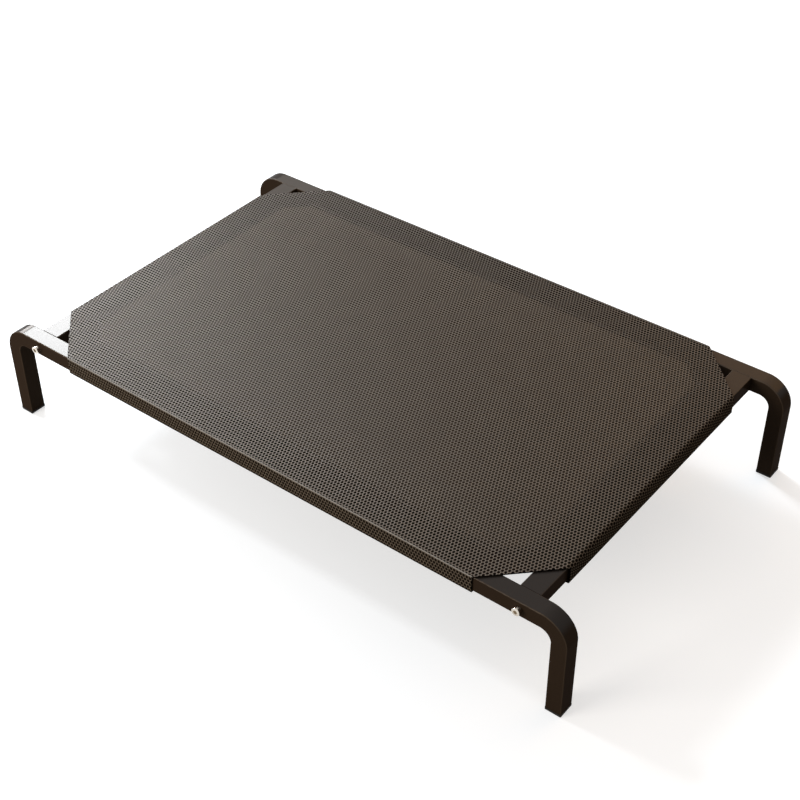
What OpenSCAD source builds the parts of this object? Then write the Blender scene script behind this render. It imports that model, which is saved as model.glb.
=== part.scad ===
/* [Overall] */
// Length over the outer faces of the legs
overall_length = 1100; // [900:1:1300]
// Width over the outer faces of the two rails
overall_width = 649; // [500:1:800]
// Height of the rails' top faces above the floor
frame_height = 177.5; // [150:0.5:260]

/* [Rails] */
// Width of the rail tube, across the cot
rail_width = 28.5; // [22:0.5:36]
// Depth of the rail tube, from its top face to its underside
rail_depth = 26; // [20:0.5:32]
// Outer radius of the bend where a rail turns down into a leg
bend_radius = 45; // [38:1:60]
// Wall thickness of all the steel tubes
tube_wall = 1.2; // [0.8:0.1:2]
// Outer radius on the long edges of all the tubes
tube_edge_radius = 1.6; // [1:0.1:4]

/* [Cross bars] */
// Width of the cross bar tube, along the cot
bar_width = 33.5; // [26:0.5:40]
// Depth of the cross bar tube, from its top face to its underside
bar_depth = 26; // [20:0.5:32]
// Distance from the outer face of a leg to the middle of the nearest cross bar
bar_inset = 78.5; // [74:0.5:110]
// Thickness of the steel plate welded into each end of a cross bar
end_plate_thickness = 3; // [2:0.5:5]
// Gap around an end plate inside the tube, filled by the weld
end_plate_clearance = 0.1; // [0.05:0.05:0.3]

/* [Bolts] */
// Nominal thread diameter of the bolts
bolt_diameter = 8; // [6:0.5:9]
// Length of a bolt under its head
bolt_length = 40; // [40:1:60]
// Diameter of a bolt's head
bolt_head_diameter = 13; // [12:0.5:16]
// Height of a bolt's head
bolt_head_height = 8; // [5:0.5:10]
// Width across the flats of the hexagon socket in a bolt's head
bolt_socket_width = 6; // [4:0.5:8]
// Depth of the hexagon socket in a bolt's head
bolt_socket_depth = 4; // [2:0.5:4.5]
// Chamfer on the rim of a bolt's head and on its tip
bolt_chamfer = 0.8; // [0.4:0.1:1.2]
// Width across the flats of a weld nut
nut_width = 13; // [12:0.5:16]
// Height of a weld nut
nut_height = 6.5; // [5:0.5:9]
// Radial gap between a bolt and the holes in the tubes and plates
bolt_hole_clearance = 0.25; // [0.1:0.05:0.5]
// Radial gap between a bolt's thread and the thread of its nut
thread_clearance = 0.05; // [0.05:0.05:0.2]

/* [Feet] */
// Height of a foot cap below the open end of its leg
foot_height = 5; // [4:0.5:15]
// How far a foot cap stands out past the faces of its leg
foot_lip = 0.4; // [0.2:0.1:3]
// Chamfer around the sole of a foot cap
foot_chamfer = 1.2; // [0.5:0.1:3]
// Height of the insert that a foot cap pushes up into its leg
foot_insert_height = 18; // [14:0.5:30]
// Wall thickness of a foot cap's insert
foot_insert_wall = 1.8; // [1.2:0.1:2.5]
// How far the gripping fins of an insert stand out from its wall
foot_fin_reach = 1.6; // [1:0.1:2.5]
// Thickness of a gripping fin
foot_fin_thickness = 1.2; // [0.8:0.1:2]
// Number of gripping fins on an insert
foot_fin_count = 3; // [2:1:4]
// Gap between the fins and the inside of the leg
foot_fin_clearance = 0.1; // [0.05:0.05:0.3]

/* [Cover] */
// Thickness of the mesh cloth
cloth_thickness = 1.2; // [0.8:0.1:2]
// Gap between the cloth and the tops of the tubes
cloth_clearance = 0.3; // [0.2:0.05:0.6]
// How far the sleeves stand off the sides and undersides of the tubes
sleeve_slack = 1.6; // [0.5:0.1:4]
// How far an end sleeve stands off the outer face of its cross bar
end_sleeve_slack = 3; // [0.5:0.1:6]
// Bend radius of the lower folds of a sleeve, at the middle of the cloth
fold_radius = 3; // [1:0.25:5]
// Length of each corner that is cut off the cover, along its sides
corner_cut = 96; // [80:1:130]
// Distance from the cover's edge to the inner edge of a sewn flap
flap_depth = 65; // [60:0.5:75]
// Width of the sewn strip where a flap meets the underside of the panel
seam_width = 12; // [8:0.5:16]
// Width of the flap that is turned under at each cut corner
corner_flap_width = 50; // [25:1:56]
// Gap between a corner flap and the ends of the sleeves beside it
corner_flap_gap = 1; // [0.5:0.25:3]

/* [Hidden] */
$fn = 64;
front = -1;
rear = 1;
left = -1;
right = 1;
fold_steps = 6;
cut_margin = 1;
least_inside_radius = 0.3;

frame_colour = "#231f1c";
cloth_colour = "#6b635a";
flap_colour = "#574f47";
zinc_colour = "#b9b9b6";
steel_colour = "#8b8a88";
foot_colour = "#151413";

half_length = overall_length / 2;
half_width = overall_width / 2;
rail_y = half_width - rail_width / 2;
rail_inner_y = half_width - rail_width;
rail_straight = overall_length - 2 * bend_radius;
leg_x = half_length - rail_depth / 2;
leg_length = frame_height - bend_radius - foot_height;
bar_x = half_length - bar_inset;
bar_outer_x = bar_x + bar_width / 2;
bar_length = 2 * rail_inner_y;
bolt_z = frame_height - bar_depth / 2;
bolt_hole_radius = bolt_diameter / 2 + bolt_hole_clearance;

seam_bottom = frame_height + cloth_clearance;
panel_bottom = seam_bottom + cloth_thickness;
cover_half_length = bar_outer_x + end_sleeve_slack + cloth_thickness;
cover_half_width = half_width + sleeve_slack + cloth_thickness;
side_sleeve_length = 2 * (cover_half_length - corner_cut);
end_sleeve_length = 2 * (cover_half_width - corner_cut);
corner_sum = cover_half_length + cover_half_width - corner_cut;

// A rectangle with round corners, about the origin.
module rounded_rectangle(size_x, size_y, radius) {
    square([size_x - 2 * radius, size_y], center = true);
    square([size_x, size_y - 2 * radius], center = true);
    for (side_x = [-1, 1], side_y = [-1, 1])
        translate([side_x * (size_x / 2 - radius), side_y * (size_y / 2 - radius)])
            circle(radius);
}

// The inside of a tube's section, drawn in by a gap all round.
module tube_inside(size_x, size_y, gap) {
    inset = tube_wall + gap;
    radius = max(tube_edge_radius - tube_wall, least_inside_radius);
    rounded_rectangle(size_x - 2 * inset, size_y - 2 * inset, radius);
}

// The section of a rectangular steel tube.
module tube_section(size_x, size_y) {
    difference() {
        rounded_rectangle(size_x, size_y, tube_edge_radius);
        tube_inside(size_x, size_y, 0);
    }
}

// The direction of the run that starts at a point of a path.
function heading(path, i) = (path[i + 1] - path[i]) / norm(path[i + 1] - path[i]);

// The direction a quarter turn to the left of another.
function left_of(direction) = [-direction.y, direction.x];

// How far the left side of a path lies from one of its points, for a strip of half thickness 1.
function mitre(path, i) =
    i == 0 ? left_of(heading(path, i)) :
    i == len(path) - 1 ? left_of(heading(path, i - 1)) :
    let (before = left_of(heading(path, i - 1)), after = left_of(heading(path, i)))
    (before + after) / (1 + before * after);

// A flat strip of cloth seen on edge, folded along a path.
module cloth_strip(path) {
    half = cloth_thickness / 2;
    last = len(path) - 1;
    polygon(concat(
        [for (i = [0 : last]) path[i] + half * mitre(path, i)],
        [for (i = [last : -1 : 0]) path[i] - half * mitre(path, i)]
    ));
}

// The line along a bolt, from a rail's outer face towards the middle of the cot.
module along_bolt(end, side) {
    translate([end * bar_x, side * half_width, bolt_z])
        rotate([side * 90, 0, 0])
            children();
}

// A rail bent down into a leg at each end, from one length of tube, with its bolt holes.
module rail(side) {
    color(frame_colour)
        difference() {
            translate([0, side * rail_y, 0]) {
                translate([-rail_straight / 2, 0, frame_height - rail_depth / 2])
                    rotate([0, 90, 0])
                        linear_extrude(rail_straight)
                            tube_section(rail_depth, rail_width);
                for (turn = [0, 180])
                    rotate([0, 0, turn]) {
                        translate([half_length - bend_radius, 0, frame_height - bend_radius])
                            rotate([90, 0, 0])
                                rotate_extrude(angle = 90)
                                    translate([bend_radius - rail_depth / 2, 0])
                                        tube_section(rail_depth, rail_width);
                        translate([leg_x, 0, foot_height])
                            linear_extrude(leg_length)
                                tube_section(rail_depth, rail_width);
                    }
            }
            for (end = [left, right])
                along_bolt(end, side)
                    translate([0, 0, -cut_margin])
                        cylinder(r = bolt_hole_radius, h = rail_width + 2 * cut_margin);
        }
}

// A straight tube between the inner faces of the rails, its top flush with theirs.
module cross_bar(end) {
    color(frame_colour)
        translate([end * bar_x, bar_length / 2, frame_height - bar_depth / 2])
            rotate([90, 0, 0])
                linear_extrude(bar_length)
                    tube_section(bar_width, bar_depth);
}

// The plate that closes a cross bar's end and bears on the rail, with a hole for the bolt.
module end_plate(end, side) {
    color(steel_colour)
        along_bolt(end, side)
            translate([0, 0, rail_width])
                linear_extrude(end_plate_thickness)
                    difference() {
                        tube_inside(bar_width, bar_depth, end_plate_clearance);
                        circle(bolt_hole_radius);
                    }
}

// The hexagon nut welded to the back of an end plate.
module weld_nut(end, side) {
    color(steel_colour)
        along_bolt(end, side)
            translate([0, 0, rail_width + end_plate_thickness])
                linear_extrude(nut_height)
                    difference() {
                        circle(d = nut_width / cos(30), $fn = 6);
                        circle(bolt_diameter / 2 + thread_clearance);
                    }
}

// A cap screw with a hexagon socket, its head against the rail's outer face.
module bolt(end, side) {
    head = bolt_head_diameter / 2;
    shank = bolt_diameter / 2;
    color(zinc_colour)
        along_bolt(end, side)
            difference() {
                rotate_extrude()
                    polygon([
                        [0, -bolt_head_height],
                        [head - bolt_chamfer, -bolt_head_height],
                        [head, bolt_chamfer - bolt_head_height],
                        [head, 0],
                        [shank, 0],
                        [shank, bolt_length - bolt_chamfer],
                        [shank - bolt_chamfer, bolt_length],
                        [0, bolt_length]
                    ]);
                translate([0, 0, -bolt_head_height - cut_margin])
                    cylinder(d = bolt_socket_width / cos(30), h = bolt_socket_depth + cut_margin, $fn = 6);
            }
}

// The upright outline of a foot cap's base, with its sole chamfered at both sides.
module foot_outline(width) {
    half = width / 2;
    polygon([
        [foot_chamfer - half, 0],
        [half - foot_chamfer, 0],
        [half, foot_chamfer],
        [half, foot_height],
        [-half, foot_height],
        [-half, foot_chamfer]
    ]);
}

// The finned, hollow insert of a foot cap, standing on the top of its base.
module foot_insert() {
    core_inset = foot_fin_clearance + foot_fin_reach;
    fin_pitch = foot_insert_height / foot_fin_count;
    difference() {
        union() {
            linear_extrude(foot_insert_height)
                tube_inside(rail_depth, rail_width, core_inset);
            for (i = [1 : foot_fin_count])
                translate([0, 0, i * fin_pitch - foot_fin_thickness])
                    linear_extrude(foot_fin_thickness)
                        tube_inside(rail_depth, rail_width, foot_fin_clearance);
        }
        linear_extrude(foot_insert_height + cut_margin)
            square([
                rail_depth - 2 * (tube_wall + core_inset + foot_insert_wall),
                rail_width - 2 * (tube_wall + core_inset + foot_insert_wall)
            ], center = true);
    }
}

// A moulded cap that closes the open end of a leg and stands on the floor.
module foot_cap(end, side) {
    base_x = rail_depth + 2 * foot_lip;
    base_y = rail_width + 2 * foot_lip;
    color(foot_colour)
        translate([end * leg_x, side * rail_y, 0]) {
            intersection() {
                linear_extrude(foot_height)
                    rounded_rectangle(base_x, base_y, tube_edge_radius + foot_lip);
                translate([0, base_y / 2, 0])
                    rotate([90, 0, 0])
                        linear_extrude(base_y)
                            foot_outline(base_x);
                translate([-base_x / 2, 0, 0])
                    rotate([90, 0, 90])
                        linear_extrude(base_x)
                            foot_outline(base_y);
            }
            translate([0, 0, foot_height])
                foot_insert();
        }
}

// The flat top of the cover: a rectangle with its four corners cut off.
module mesh_panel() {
    color(cloth_colour)
        translate([0, 0, panel_bottom])
            linear_extrude(cloth_thickness)
                intersection() {
                    square([2 * cover_half_length, 2 * cover_half_width], center = true);
                    rotate(45)
                        square(corner_sum * sqrt(2), center = true);
                }
}

// A flap of the cover that goes down outside a tube, under it and back up to the panel's underside.
// It is drawn on the +X side of the cot, then turned to its own side.
module sleeve(turn, edge, tube_outer, tube_width, tube_depth, length) {
    middle = cloth_thickness / 2;
    outer = edge - middle;
    inner = tube_outer - tube_width - sleeve_slack - middle;
    bottom = frame_height - tube_depth - sleeve_slack - middle;
    seam_outer = edge - flap_depth + seam_width;
    seam_middle = seam_bottom + middle;
    path = concat(
        [[outer, panel_bottom]],
        [for (i = [0 : fold_steps])
            [outer - fold_radius * (1 - cos(90 * i / fold_steps)),
             bottom + fold_radius * (1 - sin(90 * i / fold_steps))]],
        [[inner, bottom], [seam_outer, seam_middle], [edge - flap_depth, seam_middle]]
    );
    color(flap_colour)
        rotate([0, 0, turn])
            translate([0, length / 2, 0])
                rotate([90, 0, 0])
                    linear_extrude(length)
                        cloth_strip(path);
}

// A sleeve on one of the rails.
module side_sleeve(turn) {
    sleeve(turn, cover_half_width, half_width, rail_width, rail_depth, side_sleeve_length);
}

// A sleeve on one of the cross bars.
module end_sleeve(turn) {
    sleeve(turn, cover_half_length, bar_outer_x, bar_width, bar_depth, end_sleeve_length);
}

// The doubled cloth under the panel at a cut corner.
module corner_flap(end, side) {
    outer = corner_cut - corner_flap_gap;
    inner = corner_cut - corner_flap_width * sqrt(2) - corner_flap_gap;
    color(flap_colour)
        mirror([end == left ? 1 : 0, 0, 0])
            mirror([0, side == front ? 1 : 0, 0])
                translate([side_sleeve_length / 2, end_sleeve_length / 2, seam_bottom])
                    linear_extrude(cloth_thickness)
                        polygon([
                            [inner, corner_flap_gap],
                            [outer, corner_flap_gap],
                            [corner_flap_gap, outer],
                            [corner_flap_gap, inner]
                        ]);
}

rail(front);  // front_rail
rail(rear);  // rear_rail
cross_bar(left);  // left_cross_bar
cross_bar(right);  // right_cross_bar
end_plate(left, front);  // front_left_end_plate
end_plate(right, front);  // front_right_end_plate
end_plate(left, rear);  // rear_left_end_plate
end_plate(right, rear);  // rear_right_end_plate
weld_nut(left, front);  // front_left_weld_nut
weld_nut(right, front);  // front_right_weld_nut
weld_nut(left, rear);  // rear_left_weld_nut
weld_nut(right, rear);  // rear_right_weld_nut
bolt(left, front);  // front_left_bolt
bolt(right, front);  // front_right_bolt
bolt(left, rear);  // rear_left_bolt
bolt(right, rear);  // rear_right_bolt
foot_cap(left, front);  // front_left_foot_cap
foot_cap(right, front);  // front_right_foot_cap
foot_cap(left, rear);  // rear_left_foot_cap
foot_cap(right, rear);  // rear_right_foot_cap
mesh_panel();
side_sleeve(270);  // front_sleeve
side_sleeve(90);  // rear_sleeve
end_sleeve(180);  // left_sleeve
end_sleeve(0);  // right_sleeve
corner_flap(left, front);  // front_left_corner_flap
corner_flap(right, front);  // front_right_corner_flap
corner_flap(left, rear);  // rear_left_corner_flap
corner_flap(right, rear);  // rear_right_corner_flap
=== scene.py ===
"""Raised dog cot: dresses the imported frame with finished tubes, bolts, feet and a stretched mesh cover."""

import math

import bmesh
import bpy
from bpy.props import FloatProperty, FloatVectorProperty, PointerProperty
from mathutils import Matrix, Vector


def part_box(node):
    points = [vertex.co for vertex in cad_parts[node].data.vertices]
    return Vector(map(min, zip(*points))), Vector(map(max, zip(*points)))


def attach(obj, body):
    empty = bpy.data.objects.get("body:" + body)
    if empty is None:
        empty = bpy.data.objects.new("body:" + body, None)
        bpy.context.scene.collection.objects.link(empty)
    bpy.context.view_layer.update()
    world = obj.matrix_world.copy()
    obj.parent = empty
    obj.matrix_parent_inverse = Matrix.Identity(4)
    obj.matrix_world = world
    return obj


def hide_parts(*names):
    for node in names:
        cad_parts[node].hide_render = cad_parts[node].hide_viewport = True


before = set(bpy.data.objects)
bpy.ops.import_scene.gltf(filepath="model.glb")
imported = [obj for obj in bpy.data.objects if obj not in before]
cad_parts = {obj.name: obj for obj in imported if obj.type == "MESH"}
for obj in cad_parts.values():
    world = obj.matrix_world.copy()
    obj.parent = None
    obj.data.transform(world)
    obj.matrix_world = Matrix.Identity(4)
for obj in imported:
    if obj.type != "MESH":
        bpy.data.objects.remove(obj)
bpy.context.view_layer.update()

bl_info = {
    "name": "Raised dog cot",
    "version": (1, 0, 0),
    "blender": (4, 5, 0),
    "location": "View3D > Sidebar > Dog cot",
    "description": "Finishes the tubes, bolts, feet and mesh cover of a raised dog cot",
    "category": "Mesh",
}

BODY = "root"
FRONT, REAR = -1, 1
LEFT, RIGHT = -1, 1
SIDE_NAMES = {FRONT: "front", REAR: "rear"}
END_NAMES = {LEFT: "left", RIGHT: "right"}
CORNERS = [(end, side) for side in (FRONT, REAR) for end in (LEFT, RIGHT)]
CUT_MAP = "cut"
EDGE_MAP = "edge"
POLISH_AND_SHEEN_MAP = "polish_and_sheen"
# Slots of the cloth: the dark sheet behind the holes is painted shade, the hem is painted near-black as shade
# at the cut edge, the low fold is painted dark as shade under the tube, and the top fold is painted lighter
# as a highlight.
NET, SHADE_SHEET, HEM, LOW_FOLD, FOLD = range(5)

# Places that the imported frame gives
RAIL_LOW, RAIL_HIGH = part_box("rear_rail")
BAR_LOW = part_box("right_cross_bar")[0]
PANEL_LOW, PANEL_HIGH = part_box("mesh_panel")
SIDE_SLEEVE_LOW, SIDE_SLEEVE_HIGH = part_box("rear_sleeve")
END_SLEEVE_LOW, END_SLEEVE_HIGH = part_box("right_sleeve")
FLAP_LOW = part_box("rear_right_corner_flap")[0]
BOLT_LOW, BOLT_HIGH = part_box("rear_right_bolt")
CLOTH = PANEL_HIGH.z - PANEL_LOW.z

# Fixed values of the shapes, in metres and radians
SLANT = math.sqrt(0.5)
EVEN_ROW = math.sqrt(3.0) / 2.0
RIGHT_ANGLE = math.radians(90.0)
SIXTH_TURN = math.radians(60.0)
SHARP_ANGLE = math.radians(35.0)
TOUCH = 1e-6
ROUNDING = 1e-9
EDGE_SEGMENTS = 6
BEND_STEPS = 24
FOLD_STEPS = 5
BOLT_STEPS = 72
NET_MARGIN = 2
PANEL_CELL = 0.03
FLAP_CELL = 0.02

# Fixed values of the finishes
NOISE_LOW, NOISE_HIGH = 0.3, 0.7
POLISH_END, POLISH_FULL = 0.025, 0.006
FLAP_EDGE_SOFTNESS = 0.004
# Painted shade on the panel over the sewn flaps: darker towards the rear and the right end, and a touch
# lighter inside the flaps.
BAND_SLANT, BAND_REACH = 0.25, 0.25
BAND_FRONT_TONE, BAND_REAR_TONE = 0.98, 0.73
OPEN_TONE = 1.01

# Fixed values of the stage
WHITE = (1.0, 1.0, 1.0, 1.0)
BLACK = (0.0, 0.0, 0.0, 1.0)
FLOOR_HALF = 8.0
FLOOR_FADE_START, FLOOR_FADE_END = 1.8, 4.5
FLOOR_GLOW = 0.58
SKY_SIDE = (-0.75, 0.2, 0.63)
SKY_DIM_FACING, SKY_LIT_FACING = -0.7, 0.9
SKY_DIM = (0.10, 0.095, 0.09, 1.0)
SKY_LIT = (0.62, 0.60, 0.58, 1.0)
CAMERA_PLACE = (1.1919, -1.4993, 1.6197)
CAMERA_AZIMUTH = math.radians(38.0)
CAMERA_ELEVATION = math.radians(38.77)
CAMERA_ROLL = math.radians(-0.22)
CAMERA_LENS = 67.3
CAMERA_SENSOR = 36.0

# Lamps: name, place, target, width, height, watts and tint
LAMPS = (
    ("window", (-2.75, 1.38, 2.16), (-0.47, -0.28, 0.18), 0.71, 0.57, 93.0, (0.97, 0.99, 1.0)),
    ("left strip", (-2.5, -0.53, 2.37), (-0.4, -0.3, 0.18), 0.36, 0.36, 36.0, (1.0, 0.98, 0.95)),
    ("back softbox", (-2.55, 2.45, 2.25), (0.0, 0.0, 0.18), 1.45, 0.8, 18.8, (1.0, 0.93, 0.84)),
    ("right card", (0.75, 2.95, 1.95), (0.5, 0.3, 0.18), 3.4, 1.3, 31.0, (1.0, 0.45, 0.05)),
    ("front fill", (-1.0, -2.6, 1.0), (0.0, -0.3, 0.15), 1.4, 1.0, 60.0, (1.0, 0.87, 0.74)),
    ("low strip", (-3.4, 1.33, 1.3), (-0.5, -0.3, 0.17), 0.45, 1.1, 47.0, (1.0, 0.98, 0.96)),
)


def length(label, text, default):
    """A length in metres that a user may change."""
    return FloatProperty(name=label, description=text, default=default, unit="LENGTH", precision=5)


def colour(label, text, default):
    """A colour that a user may change."""
    return FloatVectorProperty(name=label, description=text, default=default, subtype="COLOR",
                               size=3, min=0.0, max=1.0)


class CotSizes(bpy.types.PropertyGroup):
    """Sizes of the cot's finished pieces."""
    rail_depth: length("Rail depth", "Rail tube from its top face to its underside", 0.026)
    bend_radius: length("Bend radius", "Outer radius where a rail turns down into a leg", 0.045)
    edge_radius: length("Edge radius", "Outer radius on the long edges of the tubes", 0.0016)
    tube_wall: length("Tube wall", "Thickness of the tubes' steel", 0.0012)
    bolt_shank: length("Bolt shank", "Diameter of a bolt's shank", 0.008)
    bolt_head_height: length("Bolt head height", "Height of a bolt's head", 0.008)
    bolt_chamfer: length("Bolt chamfer", "Chamfer on a bolt's head and tip", 0.0008)
    socket_width: length("Socket width", "Hexagon socket across its flats", 0.006)
    socket_depth: length("Socket depth", "Depth of the hexagon socket", 0.004)
    knurl_depth: length("Knurl depth", "Depth of the grooves round a bolt's head", 0.00018)
    weave_pitch: length("Weave pitch", "Distance between the holes of one row of the mesh", 0.00522)
    weave_row: length("Weave row", "Distance between the rows of holes", 0.00562)
    hole_radius: length("Hole radius", "Radius of a hole in the mesh, along its row", 0.0021)
    # The sheet at this depth is painted shade that shows through the mesh's holes.
    shade_sheet_depth: length("Backing depth", "Depth of the dark backing under the face of the mesh", 0.0009)
    sag: length("Sag", "How far the middle of the panel hangs below its edge", 0.001)
    side_fold: length("Side fold", "Radius of the fold from the panel into a rail's sleeve", 0.0013)
    end_fold: length("End fold", "Radius of the fold from the panel into a cross bar's sleeve", 0.006)
    low_fold: length("Low fold", "Radius of a sleeve's folds below the tube", 0.0036)
    hem_width: length("Hem width", "Width of the plain hem behind a cut edge", 0.0016)
    hem_depth: length("Hem depth", "Depth of the hem behind the face of the mesh", 0.0021)
    hem_cover: length("Hem cover", "Depth of the hem's front below the face of the mesh", 0.0003)
    flap_depth: length("Flap depth", "Cover's edge to the inner edge of a sewn flap", 0.065)
    seam_width: length("Seam width", "Width of a flap's sewn strip", 0.012)
    corner_flap_width: length("Corner flap width", "Width of the flap turned under at a cut corner", 0.05)
    stitch_pitch: length("Stitch pitch", "Distance between the stitches of a seam", 0.0042)
    stitch_length: length("Stitch length", "Length of one stitch", 0.003)
    thread_width: length("Thread width", "Thickness of the sewing thread", 0.0006)


class CotColours(bpy.types.PropertyGroup):
    """Colours of the cot's finishes and of its floor."""
    powder_coat: colour("Powder coat", "Coat on the tubes", (0.0220, 0.0147, 0.0096))
    coat_fleck: colour("Coat fleck", "Lighter fleck in the coat", (0.0295, 0.0203, 0.0138))
    # Painted sheen: the tubes' tops are painted less brown than their sides, standing in for the cooler light
    # they reflect.
    coat_top_sheen: colour("Coat top", "Coat on the tubes' tops, rubbed by the cover", (0.0200, 0.0172, 0.0158))
    # Painted lighter along the tubes' rounded edges: part wear, part painted highlight.
    coat_edge_wear_and_glint: colour("Coat edge", "Coat rubbed along the tubes' edges", (0.060, 0.044, 0.030))
    yarn_high: colour("Yarn crown", "Crown of the mesh's strands", (0.091, 0.073, 0.055))
    # The same yarn as the panel's, painted lighter on the sleeves and flaps as painted light on their sides.
    flap_yarn_painted_lighter: colour("Flap yarn", "Crown of the sleeves' and corner flaps' strands", (0.122, 0.103, 0.083))
    # Painted shade: the strands' sides are painted darker than their crowns.
    yarn_side_shade: colour("Yarn side", "Sides of the mesh's strands", (0.030, 0.022, 0.015))
    # Partly painted highlight: the drawn strands along the top fold are painted lighter than the yarn.
    fold: colour("Fold", "Strands drawn together along a rail sleeve's top fold", (0.121, 0.109, 0.093))
    # Painted shade: the drawn strands of the lower fold are painted dark, as shade under the tube.
    low_fold: colour("Low fold", "Strands drawn together along a sleeve's lower fold", (0.030, 0.024, 0.017))
    # Painted shade: a dark sheet behind the holes stands in for the shade seen through them. Inside the sewn
    # flaps it is painted lighter, as light coming through the single layer.
    shade_sheet: colour("Backing", "Dark backing behind the holes", (0.0092, 0.0073, 0.0056))
    shade_sheet_open: colour("Open backing", "Backing inside the sewn flaps", (0.0240, 0.0193, 0.0148))
    # Painted shade: the hem is real turned cloth, painted near-black as the shadow gap at the cut edge.
    hem: colour("Hem", "Plain hem on a cut edge", (0.003, 0.0025, 0.002))
    thread: colour("Thread", "Sewing thread", (0.085, 0.073, 0.061))
    zinc: colour("Zinc", "Plating on the bolts", (0.66, 0.60, 0.52))
    steel: colour("Steel", "Bare steel inside the cross bars", (0.42, 0.42, 0.41))
    foot: colour("Foot", "Moulded foot caps", (0.0065, 0.0050, 0.0036))
    floor: colour("Floor", "Plain floor", (0.515, 0.555, 0.60))
    floor_bounce: colour("Floor bounce", "Floor's tone for the light it throws back", (0.34, 0.33, 0.30))


def sizes():
    """The cot's sizes, as set in the scene."""
    return bpy.context.scene.cot_sizes


def colours():
    """The cot's colours, as set in the scene."""
    return bpy.context.scene.cot_colours


def rgba(value):
    """A colour with full cover, for a shader socket."""
    return (*value, 1.0)


def toned(value, share):
    """A colour made darker or lighter by a share, for a shader socket."""
    return rgba(share * channel for channel in value)


def corner_name(end, side):
    """The name of one of the cot's corners."""
    return f"{SIDE_NAMES[side]}_{END_NAMES[end]}"


# Shader helpers

class Shading:
    """A node tree with short ways to add and join nodes."""

    def __init__(self, tree):
        self.tree = tree

    def node(self, kind, **settings):
        """A new node with its settings."""
        made = self.tree.nodes.new(kind)
        for key, value in settings.items():
            setattr(made, key, value)
        return made

    def join(self, source, target):
        """Links two sockets."""
        self.tree.links.new(source, target)

    def feed(self, socket, value):
        """Links a socket, or sets a constant."""
        if isinstance(value, bpy.types.NodeSocket):
            self.join(value, socket)
        else:
            socket.default_value = value

    def fill(self, made, **values):
        """Feeds a node's inputs by their names, and hands back its outputs."""
        for key, value in values.items():
            self.feed(made.inputs[key.replace("_", " ")], value)
        return made.outputs

    def math(self, operation, *values, clamp=False):
        """A sum, product or other result of one or two values."""
        made = self.node("ShaderNodeMath", operation=operation, use_clamp=clamp)
        for socket, value in zip(made.inputs, values):
            self.feed(socket, value)
        return made.outputs[0]

    def remap(self, value, from_low, from_high, to_low=0.0, to_high=1.0):
        """A value carried smoothly from one range to another, and held at its ends."""
        made = self.node("ShaderNodeMapRange", interpolation_type="SMOOTHSTEP")
        return self.fill(made, Value=value, From_Min=from_low, From_Max=from_high,
                         To_Min=to_low, To_Max=to_high)["Result"]

    def spread(self, noise, low, high):
        """A noise spread over a range of levels."""
        return self.remap(noise, NOISE_LOW, NOISE_HIGH, low, high)

    def mix(self, factor, first, second, blend="MIX"):
        """Two colours mixed by a factor."""
        made = self.node("ShaderNodeMix", data_type="RGBA", blend_type=blend)
        return self.fill(made, Factor=factor, A=first, B=second)["Result"]

    def shaded(self, shade, tone):
        """A colour multiplied by a grey tone."""
        grey = self.fill(self.node("ShaderNodeCombineColor"), Red=tone, Green=tone, Blue=tone)["Color"]
        return self.mix(1.0, shade, grey, blend="MULTIPLY")

    def noise(self, vector, scale, detail=2.0):
        """Soft noise over a place."""
        made = self.node("ShaderNodeTexNoise", noise_dimensions="3D")
        return self.fill(made, Vector=vector, Scale=scale, Detail=detail)["Fac"]

    def bump(self, height, strength, distance):
        """A normal that follows a relief."""
        made = self.node("ShaderNodeBump")
        return self.fill(made, Height=height, Strength=strength, Distance=distance)["Normal"]

    def split(self, vector):
        """The X, Y and Z of a vector."""
        return self.fill(self.node("ShaderNodeSeparateXYZ"), Vector=vector)

    def object_place(self):
        """Place on the object."""
        return self.node("ShaderNodeTexCoord").outputs["Object"]

    def cut_place(self):
        """Place on the flat cut of a cloth."""
        return self.node("ShaderNodeUVMap", uv_map=CUT_MAP).outputs["UV"]

    def mark(self, name):
        """A mark that the mesh carries at its points."""
        return self.node("ShaderNodeAttribute", attribute_name=name).outputs["Fac"]

    def group(self, tree, **values):
        """A node group placed in the tree, with its inputs linked or set."""
        return self.fill(self.node("ShaderNodeGroup", node_tree=tree), **values)


def once(build):
    """Makes a material or node group the first time it is asked for, then hands out the same one."""
    kept = {}

    def make():
        if "made" not in kept:
            kept["made"] = build()
        return kept["made"]
    return make


def new_material(name):
    """An empty material with its Principled shader joined to the output."""
    material = bpy.data.materials.new(name)
    material.use_nodes = True
    shading = Shading(material.node_tree)
    shading.tree.nodes.clear()
    shader = shading.node("ShaderNodeBsdfPrincipled")
    output = shading.node("ShaderNodeOutputMaterial")
    shading.join(shader.outputs["BSDF"], output.inputs["Surface"])
    return material, shading, shader


def node_group(name, place, values, results):
    """A new shader group that reads a place and some values, and puts out other values."""
    group = bpy.data.node_groups.new(name, "ShaderNodeTree")
    group.interface.new_socket(name=place, in_out="INPUT", socket_type="NodeSocketVector")
    for label in values:
        group.interface.new_socket(name=label, in_out="INPUT", socket_type="NodeSocketFloat")
    for label in results:
        group.interface.new_socket(name=label, in_out="OUTPUT", socket_type="NodeSocketFloat")
    shading = Shading(group)
    return group, shading, shading.node("NodeGroupInput").outputs, shading.node("NodeGroupOutput")


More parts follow.
